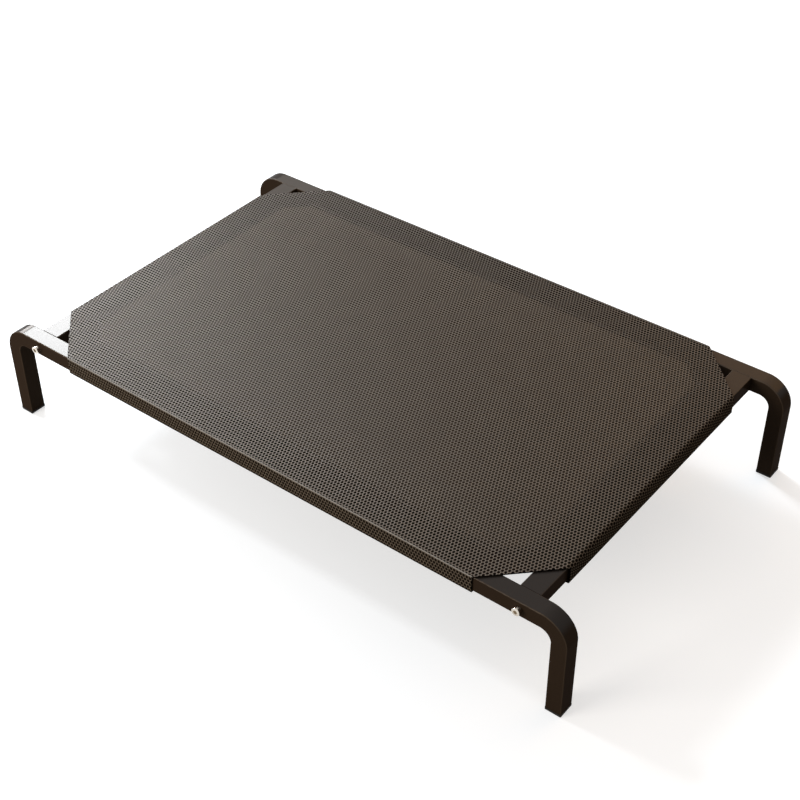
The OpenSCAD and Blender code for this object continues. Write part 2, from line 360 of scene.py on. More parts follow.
@once
def weave_relief_group():
    """Relief of the mesh's strands: 1 on the crown of a strand, 0 at the edge of a hole."""
    group, shading, given, result = node_group(
        "mesh weave relief", "Cut", ["Pitch", "Row", "Hole"], ["Crown"])
    place = shading.split(given["Cut"])
    pitch = given["Pitch"]
    two_rows = shading.math("MULTIPLY", given["Row"], 2.0)
    two_even_rows = shading.math("MULTIPLY", pitch, 2.0 * EVEN_ROW)
    distances = []
    for stagger in (0.0, 0.5):
        squares = []
        for axis, cycle, span in (("X", pitch, pitch), ("Y", two_rows, two_even_rows)):
            turns = shading.math("ADD", shading.math("DIVIDE", place[axis], cycle), 0.5 + stagger)
            share = shading.math("SUBTRACT", shading.math("FRACT", turns), 0.5)
            away = shading.math("MULTIPLY", share, span)
            squares.append(shading.math("MULTIPLY", away, away))
        distances.append(shading.math("SQRT", shading.math("ADD", *squares)))
    nearest = shading.math("MINIMUM", *distances)
    hole_edge = shading.math("MULTIPLY", given["Hole"], 0.92)
    strand_middle = shading.math("MULTIPLY", pitch, 0.52)
    shading.fill(result, Crown=shading.remap(nearest, hole_edge, strand_middle))
    return group


def weave_crown(shading, cut):
    """The relief of the mesh at its own pitch."""
    size = sizes()
    return shading.group(weave_relief_group(), Cut=cut, Pitch=size.weave_pitch, Row=size.weave_row,
                         Hole=size.hole_radius)["Crown"]


@once
def fine_grain_group():
    """Fine grain of a coat or moulding: a broad drift, a fleck and a relief."""
    group, shading, given, result = node_group(
        "fine grain", "Place", ["Grain Scale", "Drift Scale"], ["Drift", "Fleck", "Relief"])
    place = given["Place"]
    fleck_scale = shading.math("MULTIPLY", given["Grain Scale"], 2.3)
    shading.fill(result,
                 Drift=shading.noise(place, given["Drift Scale"], detail=3.0),
                 Fleck=shading.remap(shading.noise(place, fleck_scale), 0.55, 0.75),
                 Relief=shading.noise(place, given["Grain Scale"], detail=1.5))
    return group


def fine_grain(shading, grain_scale, drift_scale):
    """The fine grain of one finish."""
    return shading.group(fine_grain_group(), Place=shading.object_place(),
                         Grain_Scale=grain_scale, Drift_Scale=drift_scale)


@once
def inside_flaps_group():
    """1 on the part of the panel that has no sewn flap under it, and 0 over the flaps."""
    group, shading, given, result = node_group(
        "inside flaps", "Cut", ["Reach X", "Reach Y", "Reach Sum", "Softness"], ["Inside"])
    place = shading.split(given["Cut"])
    across = shading.math("ABSOLUTE", place["X"])
    along = shading.math("ABSOLUTE", place["Y"])
    both = shading.math("ADD", across, along)
    beyond = shading.math("MULTIPLY", given["Softness"], -1.0)
    inside = 1.0
    for reach, out in (("Reach X", across), ("Reach Y", along), ("Reach Sum", both)):
        ahead = shading.math("SUBTRACT", given[reach], out)
        inside = shading.math("MINIMUM", inside, shading.remap(ahead, beyond, given["Softness"]))
    shading.fill(result, Inside=inside)
    return group


def inside_flaps(shading, cut):
    """The mask of the panel's single layer, inside its sewn flaps."""
    size = sizes()
    corner_reach = corner_sum() - size.corner_flap_width / SLANT
    return shading.group(inside_flaps_group(), Cut=cut, Reach_X=PANEL_HIGH.x - size.flap_depth,
                         Reach_Y=PANEL_HIGH.y - size.flap_depth, Reach_Sum=corner_reach,
                         Softness=FLAP_EDGE_SOFTNESS)["Inside"]


@once
def powder_coat_material():
    """Dark bronze powder coat: fine metal flake under a thin clear coat, with a slight orange peel.

    The cover keeps the tubes' tops polished, and they are painted less brown, a painted sheen. Their edges
    are painted lighter, part wear and part painted highlight."""
    material, shading, shader = new_material("powder coat")
    grain = fine_grain(shading, grain_scale=620.0, drift_scale=9.0)
    tint = shading.math("ADD", shading.math("MULTIPLY", grain["Fleck"], 0.55),
                        shading.math("MULTIPLY", grain["Drift"], 0.35), clamp=True)
    coat = shading.mix(tint, rgba(colours().powder_coat), rgba(colours().coat_fleck))
    height = shading.split(shading.object_place())["Z"]
    upper = shading.remap(height, RAIL_HIGH.z - POLISH_END, RAIL_HIGH.z - POLISH_FULL)
    top = shading.math("MULTIPLY", shading.mark(POLISH_AND_SHEEN_MAP), upper)
    # Painted sheen on the tubes' tops: a less brown colour.
    coat = shading.mix(shading.math("MULTIPLY", top, 0.9), coat, rgba(colours().coat_top_sheen))
    # The edges are painted lighter: part wear, part painted highlight along their rounding.
    rubbed = shading.math("MULTIPLY", shading.mark(EDGE_MAP), shading.spread(grain["Drift"], 0.5, 1.0))
    shading.fill(shader,
                 Base_Color=shading.mix(rubbed, coat, rgba(colours().coat_edge_wear_and_glint)),
                 Roughness=shading.spread(grain["Drift"], 0.33, 0.40),
                 Normal=shading.bump(grain["Relief"], strength=0.05, distance=0.0004),
                 Coat_Weight=shading.remap(top, 0.0, 1.0, 0.02, 0.225),
                 Coat_Roughness=0.18,
                 Coat_IOR=1.5,
                 Metallic=0.12,
                 Specular_IOR_Level=0.0,
                 Specular_Tint=(0.42, 0.38, 0.35, 1.0))
    return material


@once
def bolt_material():
    """Bright zinc plate with faint turning marks."""
    material, shading, shader = new_material("bright zinc plate")
    grain = fine_grain(shading, grain_scale=2600.0, drift_scale=260.0)
    zinc = colours().zinc
    shading.fill(shader,
                 Base_Color=shading.mix(grain["Drift"], rgba(zinc), toned(zinc, 0.82)),
                 Roughness=shading.spread(grain["Drift"], 0.14, 0.24),
                 Normal=shading.bump(grain["Relief"], strength=0.08, distance=0.0001),
                 Metallic=1.0)
    return material


@once
def bare_steel_material():
    """Mill steel of the plates and nuts inside the cross bars."""
    material, shading, shader = new_material("mill steel")
    grain = fine_grain(shading, grain_scale=1500.0, drift_scale=90.0)
    steel = colours().steel
    shading.fill(shader,
                 Base_Color=shading.mix(grain["Drift"], rgba(steel), toned(steel, 0.6)),
                 Roughness=shading.spread(grain["Drift"], 0.35, 0.55),
                 Normal=shading.bump(grain["Relief"], strength=0.1, distance=0.0002),
                 Metallic=1.0)
    return material


@once
def foot_material():
    """Black moulded plastic with a fine spark texture."""
    material, shading, shader = new_material("moulded foot plastic")
    grain = fine_grain(shading, grain_scale=1400.0, drift_scale=60.0)
    foot = colours().foot
    scuff = shading.math("MULTIPLY", grain["Fleck"], 0.6)
    shading.fill(shader,
                 Base_Color=shading.mix(scuff, rgba(foot), toned(foot, 2.2)),
                 Roughness=shading.spread(grain["Drift"], 0.52, 0.68),
                 Normal=shading.bump(grain["Relief"], strength=0.35, distance=0.0003),
                 Specular_IOR_Level=0.15)
    return material


def yarn(name, high, low, specular, panel):
    """Coated yarn on the face of the mesh, crowned along each strand, with painted shade on the strands'
    sides towards the holes.

    On the panel it is painted darker over the sewn flaps, most of all along the rear and the right end:
    painted shade, where the doubled cloth lets less light through."""
    material, shading, shader = new_material(name)
    cut = shading.cut_place()
    crown = weave_crown(shading, cut)
    drift = shading.noise(cut, scale=26.0, detail=3.0)
    fibre = shading.noise(cut, scale=2400.0, detail=1.0)
    fuzz = shading.math("MULTIPLY", shading.math("SUBTRACT", fibre, 0.5), 0.16)
    tone = shading.math("ADD", shading.remap(drift, 0.25, 0.75, 0.93, 1.05), fuzz)
    # Painted shade: over the sewn flaps the yarn is darker, most of all towards the rear and the right end.
    if panel:
        place = shading.split(cut)
        slant = shading.math("ADD", place["Y"], shading.math("MULTIPLY", place["X"], BAND_SLANT))
        band_shade = shading.remap(slant, -BAND_REACH, BAND_REACH, BAND_FRONT_TONE, BAND_REAR_TONE)
        layers = shading.remap(inside_flaps(shading, cut), 0.0, 1.0, band_shade, OPEN_TONE)
        tone = shading.math("MULTIPLY", tone, layers)
    relief = shading.math("ADD", crown, shading.math("MULTIPLY", fibre, 0.12))
    # The colour runs from painted shade at the holes' edges to the yarn's crown.
    shading.fill(shader,
                 Base_Color=shading.shaded(shading.mix(crown, rgba(low), rgba(high)), tone),
                 Roughness=shading.spread(fibre, 0.36, 0.44),
                 Normal=shading.bump(relief, strength=0.28, distance=0.0005),
                 Specular_IOR_Level=specular)
    return material


@once
def panel_net_material():
    """Face of the panel, worn to a slight sheen."""
    return yarn("panel mesh yarn", colours().yarn_high, colours().yarn_side_shade, specular=0.22, panel=True)


@once
def flap_net_material():
    """Face of the sleeves and corner flaps, duller than the panel, with its yarn painted lighter than the
    panel's to stand in for the light on the sleeves' sides.
    """
    return yarn("flap mesh yarn", colours().flap_yarn_painted_lighter, colours().yarn_side_shade, specular=0.0, panel=False)


def drawn_yarn(name, shade, specular):
    """Strands drawn together along a fold, where no hole shows."""
    material, shading, shader = new_material(name)
    strand = shading.noise(shading.cut_place(), scale=520.0)
    shading.fill(shader,
                 Base_Color=shading.mix(shading.remap(strand, 0.35, 0.65), toned(shade, 0.7), rgba(shade)),
                 Roughness=shading.spread(strand, 0.34, 0.44),
                 Normal=shading.bump(strand, strength=0.3, distance=0.0003),
                 Specular_IOR_Level=specular)
    return material


@once
def fold_and_highlight_material():
    """Fold from the panel into a rail's sleeve: strands drawn together, painted lighter and more neutral as a
    painted highlight along the fold.
    """
    return drawn_yarn("top fold yarn and highlight", colours().fold, specular=0.5)


@once
def low_fold_shade_material():
    """Lower fold of a sleeve, painted dark as shade under the tube."""
    return drawn_yarn("low fold yarn in shade", colours().low_fold, specular=0.0)


def painted_shade_sheet(name, panel):
    """A dark sheet of painted shade behind the holes, standing in for the shade seen through an open mesh. On
    the panel, where no flap lies under it, it is painted lighter as light coming through the cloth.

    Its back, which is seen from below, shows the strands again."""
    material, shading, shader = new_material(name)
    cut = shading.cut_place()
    knit = shading.noise(cut, scale=1500.0, detail=1.0)
    dark = rgba(colours().shade_sheet)
    front = dark
    if panel:
        front = shading.mix(inside_flaps(shading, cut), dark, rgba(colours().shade_sheet_open))
    back = shading.mix(weave_crown(shading, cut), dark, rgba(colours().yarn_high))
    shade = shading.mix(shading.node("ShaderNodeNewGeometry").outputs["Backfacing"], front, back)
    shading.fill(shader,
                 Base_Color=shading.shaded(shade, shading.spread(knit, 0.75, 1.2)),
                 Roughness=shading.spread(knit, 0.7, 0.85),
                 Normal=shading.bump(knit, strength=0.3, distance=0.0003),
                 Specular_IOR_Level=0.0)
    return material


@once
def panel_shade_sheet_material():
    """Dark sheet of painted shade behind the panel's holes."""
    return painted_shade_sheet("panel backing", panel=True)


@once
def flap_shade_sheet_material():
    """Dark sheet of painted shade behind the holes of the sleeves and corner flaps."""
    return painted_shade_sheet("flap backing", panel=False)


@once
def hem_shade_material():
    """Turned and pressed cloth on a cut edge, painted near-black as the shadow gap under the cloth's edge."""
    material, shading, shader = new_material("pressed hem in shade")
    ribs = shading.noise(shading.cut_place(), scale=1900.0)
    hem = colours().hem
    shading.fill(shader,
                 Base_Color=shading.mix(ribs, rgba(hem), toned(hem, 1.7)),
                 Roughness=shading.spread(ribs, 0.6, 0.75),
                 Normal=shading.bump(ribs, strength=0.4, distance=0.0004),
                 Specular_IOR_Level=0.0)
    return material


@once
def thread_material():
    """Twisted polyester sewing thread."""
    material, shading, shader = new_material("sewing thread")
    wave = shading.node("ShaderNodeTexWave", wave_type="BANDS", bands_direction="DIAGONAL")
    twist = shading.fill(wave, Vector=shading.object_place(), Scale=900.0)["Fac"]
    thread = colours().thread
    shading.fill(shader,
                 Base_Color=shading.mix(twist, rgba(thread), toned(thread, 0.6)),
                 Roughness=shading.remap(twist, 0.0, 1.0, 0.45, 0.6),
                 Normal=shading.bump(twist, strength=0.4, distance=0.0002))
    return material


# Mesh helpers

def finished(name, bm, *materials):
    """Turns a bmesh into a smooth-shaded piece that rides on the cot."""
    mesh = bpy.data.meshes.new(name)
    bm.to_mesh(mesh)
    bm.free()
    mesh.shade_smooth()
    for material in materials:
        mesh.materials.append(material)
    piece = bpy.data.objects.new(name, mesh)
    bpy.context.scene.collection.objects.link(piece)
    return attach(piece, BODY)


def dress_node(node, material):
    """Gives a CAD node's object a finish in each of its slots."""
    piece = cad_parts[node]
    if not piece.material_slots:
        piece.data.materials.append(material)
    for slot in piece.material_slots:
        slot.material = material


def tube_profile(bm, size_x, size_y, top):
    """The outline of a tube about the origin, with round corners, as a loop of edges.

    It is marked along its corners, and on the face towards top, which the cover keeps polished and which is
    painted with a less brown sheen."""
    bmesh.ops.create_grid(bm, x_segments=1, y_segments=1, size=0.5,
                          matrix=Matrix.Diagonal((size_x, size_y, 1.0, 1.0)))
    bmesh.ops.bevel(bm, geom=bm.verts[:], offset=sizes().edge_radius, offset_type="OFFSET",
                    segments=EDGE_SEGMENTS, profile=0.5, affect="VERTICES", material=-1)
    bmesh.ops.delete(bm, geom=bm.faces[:], context="FACES_ONLY")
    edge = bm.verts.layers.float.new(EDGE_MAP)
    polish_and_sheen = bm.verts.layers.float.new(POLISH_AND_SHEEN_MAP)
    flat = Vector((size_x / 2.0 - sizes().edge_radius, size_y / 2.0 - sizes().edge_radius))
    for vert in bm.verts:
        round_part = Vector((abs(vert.co.x), abs(vert.co.y))) - flat
        turn = math.atan2(round_part.y, round_part.x)
        facing = Vector((math.copysign(math.cos(turn), vert.co.x), math.copysign(math.sin(turn), vert.co.y)))
        vert[edge] = abs(math.sin(2.0 * turn))
        vert[polish_and_sheen] = max(facing.dot(top), 0.0)
    return bm.edges[:]


def extrude_run(bm, edges, offset):
    """Draws a loop of edges out along a straight run, and returns the loop at its end."""
    made = bmesh.ops.extrude_edge_only(bm, edges=edges)["geom"]
    verts = {item for item in made if isinstance(item, bmesh.types.BMVert)}
    bmesh.ops.translate(bm, verts=list(verts), vec=offset)
    return [item for item in made
            if isinstance(item, bmesh.types.BMEdge) and all(vert in verts for vert in item.verts)]


def bend_run(bm, edges, centre):
    """Turns a loop of edges through a right angle about an axis across the cot."""
    verts = list({vert for edge in edges for vert in edge.verts})
    made = bmesh.ops.spin(bm, geom=verts + edges, cent=centre, axis=(0.0, 1.0, 0.0),
                          angle=RIGHT_ANGLE, steps=BEND_STEPS, use_duplicate=False)
    return [item for item in made["geom_last"] if isinstance(item, bmesh.types.BMEdge)]


def tube_piece(name, bm):
    """A tube skin given its steel wall and even shading."""
    bmesh.ops.recalc_face_normals(bm, faces=bm.faces[:])
    piece = finished(name, bm, powder_coat_material())
    wall = piece.modifiers.new("tube wall", "SOLIDIFY")
    wall.thickness = sizes().tube_wall
    wall.offset = -1.0
    even = piece.modifiers.new("even shading", "WEIGHTED_NORMAL")
    even.keep_sharp = True
    return piece


class FoldedPath:
    """A line that runs straight between corner points and turns on a radius at each of them."""

    def __init__(self, corners, radii):
        points = [Vector(corner) for corner in corners]
        headings = [(after - before).normalized() for before, after in zip(points, points[1:])]
        turns = [first.angle_signed(second) for first, second in zip(headings, headings[1:])]
        reaches = [0.0] + [radius * math.tan(abs(turn) / 2.0) for radius, turn in zip(radii, turns)] + [0.0]
        self.runs = []
        start = 0.0
        for i, heading in enumerate(headings):
            begin = points[i] + heading * reaches[i]
            straight = (points[i + 1] - points[i]).length - reaches[i] - reaches[i + 1]
            self.runs.append((start, straight, begin, heading, 0.0))
            start += straight
            if i < len(turns):
                arc = radii[i] * abs(turns[i])
                self.runs.append((start, arc, begin + heading * straight, heading, turns[i]))
                start += arc
        self.length = start

    def breaks(self, steps):
        """Places along the line where its folds begin, pass and end."""
        folds = [(start, arc) for start, arc, _, _, turn in self.runs if turn]
        return [start + arc * i / steps for start, arc in folds for i in range(steps + 1)]

    def at(self, place):
        """Point and outward normal at a distance along the line."""
        reached = [run for run in self.runs if run[0] <= place + ROUNDING]
        start, span, begin, heading, turn = reached[-1]
        ahead = place - start
        if turn:
            share = -turn * ahead / span
            radius = span / abs(turn)
            side = Vector((-heading.y, heading.x)) * math.copysign(radius, -turn)
            centre = begin + side
            point = centre + Matrix.Rotation(share, 2) @ (-side)
            heading = Matrix.Rotation(share, 2) @ heading
        else:
            point = begin + heading * ahead
        return point, Vector((-heading.y, heading.x))


def weave_net(bm, low, high):
    """The open face of the mesh over a flat rectangle: a staggered grid with a hole at each of its points."""
    pitch = sizes().weave_pitch
    even_row = pitch * EVEN_ROW
    stretch = sizes().weave_row / even_row
    cells = (pitch, sizes().weave_row)
    first = [math.floor(place / cell) - NET_MARGIN for place, cell in zip(low, cells)]
    last = [math.ceil(place / cell) + NET_MARGIN for place, cell in zip(high, cells)]
    counts = [after - before for before, after in zip(first, last)]
    middle = Vector(((first[0] + counts[0] / 2.0) * pitch, (first[1] + counts[1] / 2.0) * even_row, 0.0))
    spread = Matrix.Diagonal((counts[0] * pitch, counts[1] * even_row, 1.0, 1.0))
    bmesh.ops.create_grid(bm, x_segments=counts[0], y_segments=counts[1], size=0.5,
                          matrix=Matrix.Translation(middle) @ spread)
    odd_rows = [vert for vert in bm.verts if round(vert.co.y / even_row) % 2]
    bmesh.ops.translate(bm, verts=odd_rows, vec=(pitch / 2.0, 0.0, 0.0))
    bmesh.ops.triangulate(bm, faces=bm.faces[:], quad_method="SHORT_EDGE", ngon_method="BEAUTY")
    inner = [vert for vert in bm.verts if not vert.is_boundary]
    holes = bmesh.ops.bevel(bm, geom=inner, offset=sizes().hole_radius, offset_type="OFFSET", segments=1,
                            profile=0.5, affect="VERTICES", material=-1)
    bmesh.ops.delete(bm, geom=holes["faces"], context="FACES_ONLY")
    bmesh.ops.scale(bm, verts=bm.verts[:], vec=(1.0, stretch, 1.0))


def give_kind(verts, kind):
    """Puts the faces at some points on one of the piece's material slots."""
    for face in {face for vert in verts for face in vert.link_faces}:
        face.material_index = kind


def plain_grid(bm, low, high, level, cell, kind):
    """A closed flat layer over a rectangle, in cells of about one size."""
    spans = [high[0] - low[0], high[1] - low[1]]
    middle = Vector(((low[0] + high[0]) / 2.0, (low[1] + high[1]) / 2.0, level))
    counts = [max(1, round(span / cell)) for span in spans]
    made = bmesh.ops.create_grid(bm, x_segments=counts[0], y_segments=counts[1], size=0.5,
                                 matrix=Matrix.Translation(middle) @ Matrix.Diagonal((*spans, 1.0, 1.0)))
    give_kind(made["verts"], kind)


def plain_bar(bm, low, high, kind):
    """A closed bar between two corners."""
    low, high = Vector(low), Vector(high)
    middle = (low + high) / 2.0
    spread = Matrix.Diagonal((*(high - low), 1.0))
    made = bmesh.ops.create_cube(bm, size=1.0, matrix=Matrix.Translation(middle) @ spread)
    give_kind(made["verts"], kind)
    return made["verts"]


def hem_bar(bm, start, stop, depth):
    """A closed hem behind a cut edge that runs from start to stop, with the cloth on its right."""
    run = Vector(stop) - Vector(start)
    # The hem's faces are painted near-black, as shade in the gap at the cloth's cut edge.
    verts = plain_bar(bm, (0.0, -sizes().hem_width, -depth), (run.length, 0.0, -sizes().hem_cover), HEM)
    bmesh.ops.rotate(bm, verts=verts, matrix=Matrix.Rotation(math.atan2(run.y, run.x), 3, "Z"))
    bmesh.ops.translate(bm, verts=verts, vec=(*start, 0.0))


def cut_along(bm, point, normal, clear=True):
    """Cuts the cloth along a straight line, and drops what lies beyond it if asked."""
    bmesh.ops.bisect_plane(bm, geom=bm.verts[:] + bm.edges[:] + bm.faces[:], dist=TOUCH,
                           plane_co=point, plane_no=normal, clear_outer=clear)


def cut_rectangle(bm, low, high):
    """Trims the cloth to the rectangle between two corners."""
    for axis, outward in enumerate((Vector((1.0, 0.0, 0.0)), Vector((0.0, 1.0, 0.0)))):
        cut_along(bm, outward * low[axis], -outward)
        cut_along(bm, outward * high[axis], outward)


def clear_band(bm, axis, low, high):
    """Takes a band out of the mesh, right across it, between two places on an axis."""
    outward = Vector((0.0, 0.0, 0.0))
    outward[axis] = 1.0
    for place in (low, high):
        cut_along(bm, outward * place, outward, clear=False)
    band = [face for face in bm.faces if low < face.calc_center_median()[axis] < high]
    bmesh.ops.delete(bm, geom=band, context="FACES")


def mark_cut(bm):
    """Keeps each point's place on the flat cut as the cloth's own map."""
    layer = bm.loops.layers.uv.new(CUT_MAP)
    for face in bm.faces:
        for loop in face.loops:
            loop[layer].uv = loop.vert.co.xy


def corner_sum():
    """Length plus width, from the middle, at which the cover's corners are cut off."""
    return PANEL_HIGH.x + END_SLEEVE_HIGH.y


def corner_reach():
    """Distance from the middle to the line along which a corner is cut off."""
    return corner_sum() * SLANT


def corner_normal(end, side):
    """The level direction that points straight out of a cut corner."""
    return Vector((end * SLANT, side * SLANT, 0.0))


def panel_dip(x, y):
    """How far the panel hangs below its edge at a place."""
    return sizes().sag * (1.0 - (x / PANEL_HIGH.x) ** 2) * (1.0 - (y / PANEL_HIGH.y) ** 2)


# Operators

class COT_OT_rails(bpy.types.Operator):
    """Bend the two long rails, each with its two legs"""
    bl_idname = "cot.rails"
    bl_label = "Rails"

    def execute(self, context):
        size = sizes()
        width = RAIL_HIGH.y - RAIL_LOW.y
        leg_x = RAIL_HIGH.x - size.rail_depth / 2.0
        bend_x = RAIL_HIGH.x - size.bend_radius
        bend_z = RAIL_HIGH.z - size.bend_radius
        for side in (FRONT, REAR):
            node = f"{SIDE_NAMES[side]}_rail"
            low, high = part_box(node)
            middle = (low.y + high.y) / 2.0
            bm = bmesh.new()
            edges = tube_profile(bm, size.rail_depth, width, Vector((-1.0, 0.0)))
            bmesh.ops.translate(bm, verts=bm.verts[:], vec=(-leg_x, middle, RAIL_LOW.z))
            edges = extrude_run(bm, edges, (0.0, 0.0, bend_z - RAIL_LOW.z))
            edges = bend_run(bm, edges, (-bend_x, middle, bend_z))
            edges = extrude_run(bm, edges, (2.0 * bend_x, 0.0, 0.0))
            edges = bend_run(bm, edges, (bend_x, middle, bend_z))
            extrude_run(bm, edges, (0.0, 0.0, RAIL_LOW.z - bend_z))
            piece = tube_piece(f"{node}_tube", bm)
            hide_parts(node)
        return {"FINISHED"}


class COT_OT_cross_bars(bpy.types.Operator):
    """Make the two cross bars between the rails"""
    bl_idname = "cot.cross_bars"
    bl_label = "Cross bars"

    def execute(self, context):
        for end in (LEFT, RIGHT):
            node = f"{END_NAMES[end]}_cross_bar"
            low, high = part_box(node)
            middle = (low + high) / 2.0
            bm = bmesh.new()
            edges = tube_profile(bm, high.x - low.x, high.z - low.z, Vector((0.0, 1.0)))
            bmesh.ops.rotate(bm, verts=bm.verts[:], matrix=Matrix.Rotation(RIGHT_ANGLE, 3, "X"))
            bmesh.ops.translate(bm, verts=bm.verts[:], vec=(middle.x, low.y, middle.z))
            extrude_run(bm, edges, (0.0, high.y - low.y, 0.0))
            piece = tube_piece(f"{node}_tube", bm)
            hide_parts(node)
        return {"FINISHED"}


class COT_OT_bolts(bpy.types.Operator):
    """Turn the four socket-head bolts, and finish the plates and nuts behind them"""
    bl_idname = "cot.bolts"
    bl_label = "Bolts"

    def turned(self):
        """One bolt on the Z axis, with its head below the origin."""
        size = sizes()
        head = (BOLT_HIGH.x - BOLT_LOW.x) / 2.0
        shank = size.bolt_shank / 2.0
        tip = BOLT_HIGH.y - BOLT_LOW.y - size.bolt_head_height
        top = -size.bolt_head_height
        chamfer = size.bolt_chamfer
        eased = 0.3 * chamfer
        knurl_end = 1.6 * chamfer
        plain_ring = 1.5 * chamfer
        apothem = size.socket_width / 2.0
        outline = [(apothem, top), (head - chamfer, top), (head - eased, top + eased), (head, top + chamfer),
                   (head, top + knurl_end), (head, -knurl_end), (head, -chamfer), (head, 0.0), (shank, 0.0),
                   (shank, tip - chamfer), (shank - chamfer, tip), (0.0, tip)]
        bm = bmesh.new()
        verts = [bm.verts.new((radius, 0.0, height)) for radius, height in outline]
        edges = [bm.edges.new(pair) for pair in zip(verts, verts[1:])]
        bmesh.ops.spin(bm, geom=verts + edges, cent=(0.0, 0.0, 0.0), axis=(0.0, 0.0, 1.0),
                       angle=math.tau, steps=BOLT_STEPS, use_merge=True)
        bmesh.ops.remove_doubles(bm, verts=bm.verts[:], dist=TOUCH)
        rim = set()
        for vert in bm.verts:
            turn = math.atan2(vert.co.y, vert.co.x)
            radius = vert.co.xy.length
            odd_step = round(turn / math.tau * BOLT_STEPS) % 2
            if abs(vert.co.z - top) < TOUCH and abs(radius - apothem) < TOUCH:
                reach = apothem / math.cos(turn % SIXTH_TURN - SIXTH_TURN / 2.0)
                vert.co.xy *= reach / radius
                rim.add(vert)
            elif odd_step and plain_ring < -vert.co.z < -top - plain_ring:
                vert.co.xy *= 1.0 - size.knurl_depth / radius
        socket = [edge for edge in bm.edges if all(vert in rim for vert in edge.verts)]
        floor = extrude_run(bm, socket, (0.0, 0.0, size.socket_depth))
        bmesh.ops.edgeloop_fill(bm, edges=floor)
        bmesh.ops.recalc_face_normals(bm, faces=bm.faces[:])
        return bm

    def execute(self, context):
        for end, side in CORNERS:
            place = corner_name(end, side)
            low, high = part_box(f"{place}_bolt")
            middle = (low + high) / 2.0
            bm = self.turned()
            bmesh.ops.rotate(bm, verts=bm.verts[:], matrix=Matrix.Rotation(side * RIGHT_ANGLE, 3, "X"))
            bmesh.ops.translate(bm, verts=bm.verts[:], vec=(middle.x, side * RAIL_HIGH.y, middle.z))
            piece = finished(f"{place}_cap_screw", bm, bolt_material())
            piece.data.set_sharp_from_angle(angle=SHARP_ANGLE)
            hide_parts(f"{place}_bolt")
            dress_node(f"{place}_end_plate", bare_steel_material())
            dress_node(f"{place}_weld_nut", bare_steel_material())
        return {"FINISHED"}


class COT_OT_feet(bpy.types.Operator):
    """Finish the four foot caps"""
    bl_idname = "cot.feet"
    bl_label = "Feet"

    def execute(self, context):
        for end, side in CORNERS:
            dress_node(f"{corner_name(end, side)}_foot_cap", foot_material())
        return {"FINISHED"}


class COT_OT_panel(bpy.types.Operator):
    """Stretch the mesh panel over the frame, with its corners cut off"""
    bl_idname = "cot.panel"
    bl_label = "Mesh panel"

    def execute(self, context):
        size = sizes()
        reach = Vector((PANEL_HIGH.x - size.end_fold, PANEL_HIGH.y - size.side_fold))
        bm = bmesh.new()
        weave_net(bm, -reach, reach)
        # Under the net, a dark sheet of painted shade that shows through the holes.
        plain_grid(bm, -reach, reach, -size.shade_sheet_depth, PANEL_CELL, SHADE_SHEET)
        cut_rectangle(bm, -reach, reach)
        for end, side in CORNERS:
            normal = corner_normal(end, side)
            cut_along(bm, normal * corner_reach(), normal)
        for end, side in CORNERS:
            cut = [Vector((end * reach.x, side * (corner_sum() - reach.x))),
                   Vector((end * (corner_sum() - reach.y), side * reach.y))]
            start, stop = cut[::-end * side]
            hem_bar(bm, start, stop, PANEL_HIGH.z - FLAP_LOW.z)
        mark_cut(bm)
        for vert in bm.verts:
            vert.co.z += PANEL_HIGH.z - panel_dip(vert.co.x, vert.co.y)
        finishes = [panel_net_material(), panel_shade_sheet_material(), hem_shade_material()]
        piece = finished("mesh_panel_cloth", bm, *finishes)
        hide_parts("mesh_panel")
        return {"FINISHED"}


